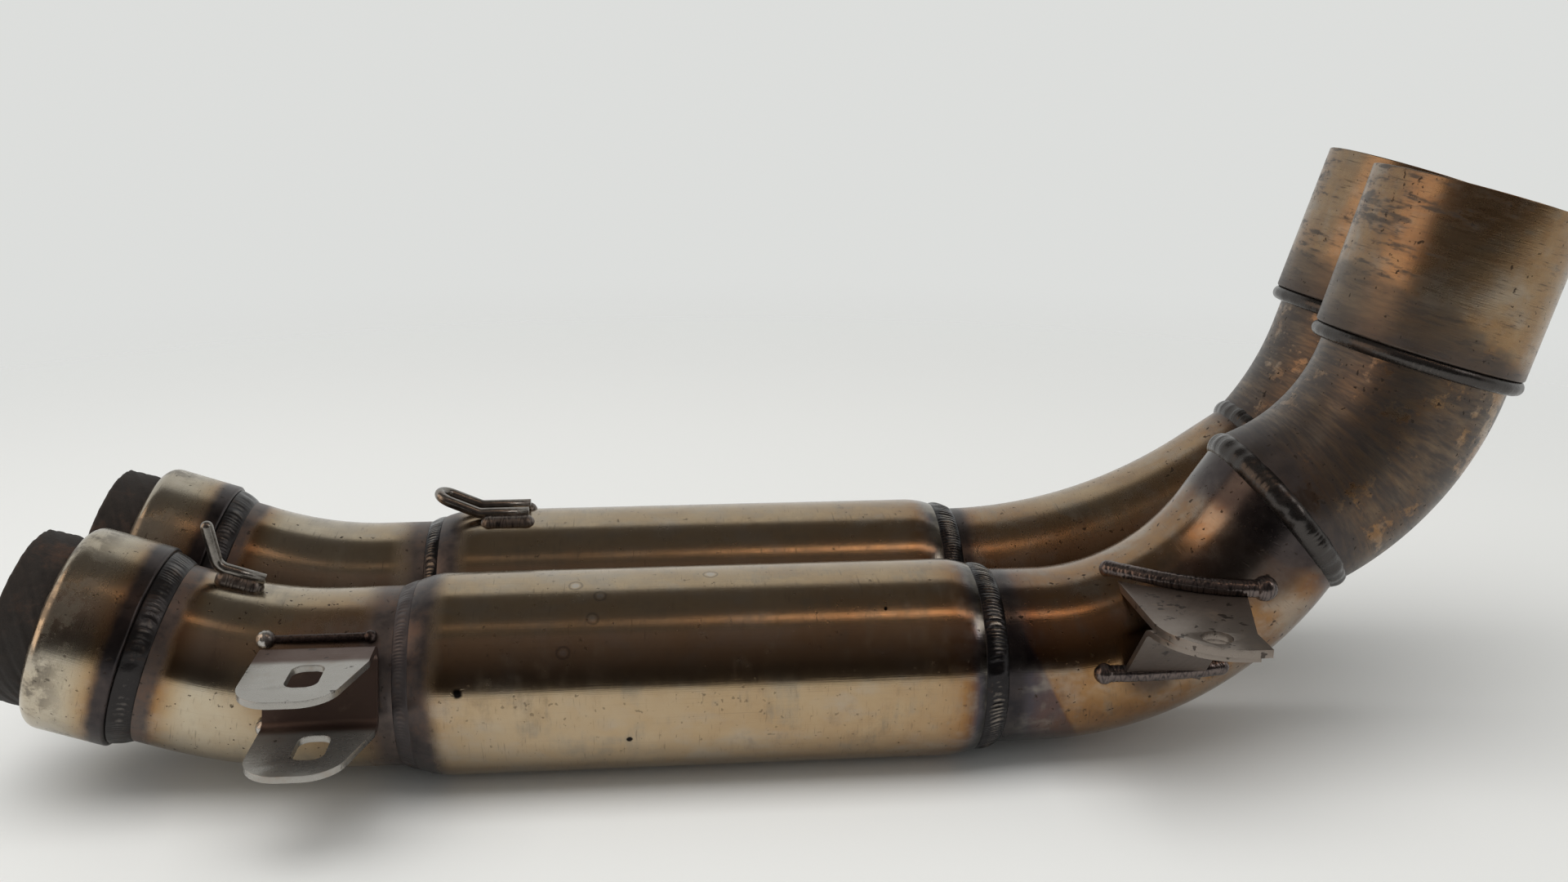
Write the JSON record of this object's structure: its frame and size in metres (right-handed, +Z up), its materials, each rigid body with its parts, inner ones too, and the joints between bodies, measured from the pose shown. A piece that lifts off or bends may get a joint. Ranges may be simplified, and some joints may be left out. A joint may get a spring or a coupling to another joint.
{
  "type": "motorcycle exhaust header",
  "caption": "Heat-tinted steel exhaust header: side-by-side pipes with slip-socket inlets, catalyst canisters, upswept mitred bends, outlet sleeves, welded brackets and spring hooks.",
  "frame": {"origin": "on the floor under the middle of the two canisters", "axes": "+X from the inlets to the outlets along the canisters, +Y from the outer pipe with the brackets to the inner pipe, +Z up"},
  "size_m": [0.4857, 0.1606, 0.1826],
  "materials": {
    "gasket_graphite": "matt pressed graphite, rust-stained",
    "socket_steel": "satin stainless steel, pale straw heat tint",
    "front_pipe_steel": "satin stainless steel, straw to brown heat tint",
    "canister_steel": "satin stainless steel, golden heat tint",
    "catalyst_foil": "dull coated foil",
    "lower_pipe_steel": "satin stainless steel, bronze heat tint",
    "outlet_pipe_steel": "satin stainless steel, smoky brown heat tint",
    "sleeve_steel": "brushed stainless steel, bronze heat tint and smoke stains",
    "weld_bead": "rippled weld, dark oxide",
    "bracket_weld": "rippled weld, blue-black oxide",
    "hook_weld": "rippled weld, grey-brown oxide",
    "front_bracket_steel": "bare pale steel sheet",
    "rear_bracket_steel": "bare steel sheet, grey-brown",
    "hook_wire": "dark oxidised steel wire"
  },
  "bodies": {
    "root": {"canister_hook": "hook_wire", "canister_hook_far_weld": "hook_weld", "canister_hook_near_weld": "hook_weld", "front_bracket": "front_bracket_steel", "front_bracket_lower_weld": "bracket_weld", "front_bracket_upper_weld": "bracket_weld", "front_hook": "hook_wire", "front_hook_weld": "hook_weld", "inner_canister_front_weld": "weld_bead", "inner_canister_rear_weld": "weld_bead", "inner_canister_shell": "canister_steel", "inner_catalyst_core": "catalyst_foil", "inner_front_bend": "front_pipe_steel", "inner_inlet_gasket": "gasket_graphite", "inner_inlet_socket": "socket_steel", "inner_inlet_weld": "weld_bead", "inner_lower_bend": "lower_pipe_steel", "inner_mitre_weld": "weld_bead", "inner_outlet_bend": "outlet_pipe_steel", "inner_outlet_sleeve": "sleeve_steel", "inner_outlet_weld": "weld_bead", "outer_canister_front_weld": "weld_bead", "outer_canister_rear_weld": "weld_bead", "outer_canister_shell": "canister_steel", "outer_catalyst_core": "catalyst_foil", "outer_front_bend": "front_pipe_steel", "outer_inlet_gasket": "gasket_graphite", "outer_inlet_socket": "socket_steel", "outer_inlet_weld": "weld_bead", "outer_lower_bend": "lower_pipe_steel", "outer_mitre_weld": "weld_bead", "outer_outlet_bend": "outlet_pipe_steel", "outer_outlet_sleeve": "sleeve_steel", "outer_outlet_weld": "weld_bead", "outlet_hook": "hook_wire", "outlet_hook_weld": "hook_weld", "rear_bracket_brace": "rear_bracket_steel", "rear_bracket_brace_weld": "bracket_weld", "rear_bracket_ear": "rear_bracket_steel", "rear_bracket_ear_weld": "bracket_weld", "tie_welds": "weld_bead"}
  },
  "joints": []
}
